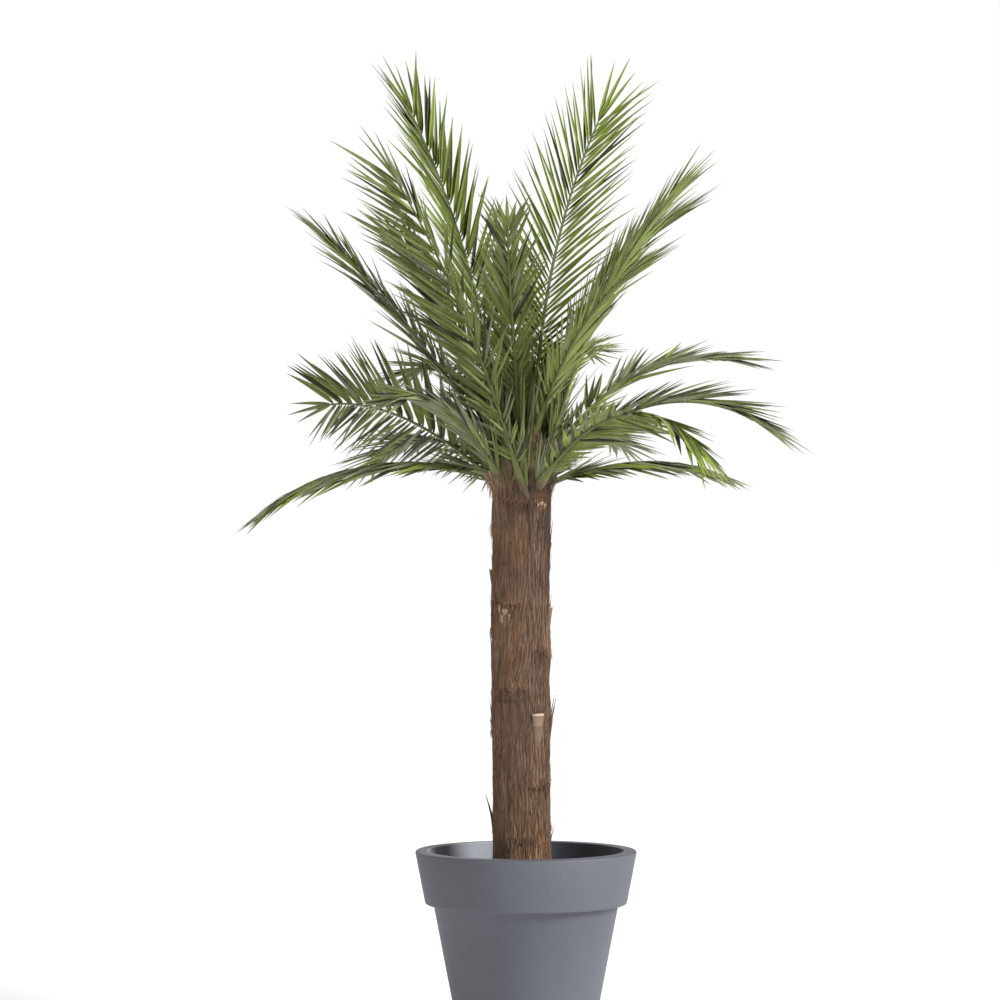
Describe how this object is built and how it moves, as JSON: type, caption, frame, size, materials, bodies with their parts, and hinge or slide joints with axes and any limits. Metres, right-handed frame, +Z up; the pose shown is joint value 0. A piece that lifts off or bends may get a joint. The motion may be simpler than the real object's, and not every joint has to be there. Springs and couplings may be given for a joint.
{
  "type": "potted date palm",
  "caption": "Slender date palm with a fibre-wrapped trunk, a swollen crown head and arching feather fronds, standing in a tapered round planter with a deep rim band.",
  "frame": {"origin": "centre of the pot's flat underside", "axes": "+Z up along the trunk, +X to the right and +Y away as the tree is seen from its front"},
  "size_m": [1.6877, 1.9761, 3.0298],
  "materials": {
    "planter": "matte slate grey, finely textured",
    "fill": "loose dark potting fill",
    "trunk": "rough brown palm fibre",
    "foliage": "satin olive green leaflets"
  },
  "bodies": {
    "root": {"pot": "planter", "fill": "fill", "trunk": "trunk", "frond_left_high": "foliage", "frond_left_second": "foliage", "frond_left_inner": "foliage", "frond_left_far": "foliage", "frond_left_arch": "foliage", "frond_left_low": "foliage", "frond_right_high": "foliage", "frond_right_second": "foliage", "frond_right_third": "foliage", "frond_right_mid": "foliage", "frond_right_upper_arch": "foliage", "frond_right_arch": "foliage", "frond_right_low": "foliage", "frond_front_right": "foliage", "frond_front_left": "foliage", "frond_front_centre": "foliage", "frond_back_high": "foliage", "frond_back_right": "foliage", "frond_back_left": "foliage", "frond_back_low": "foliage", "frond_back_low_right": "foliage", "frond_back_low_left": "foliage"}
  },
  "joints": []
}
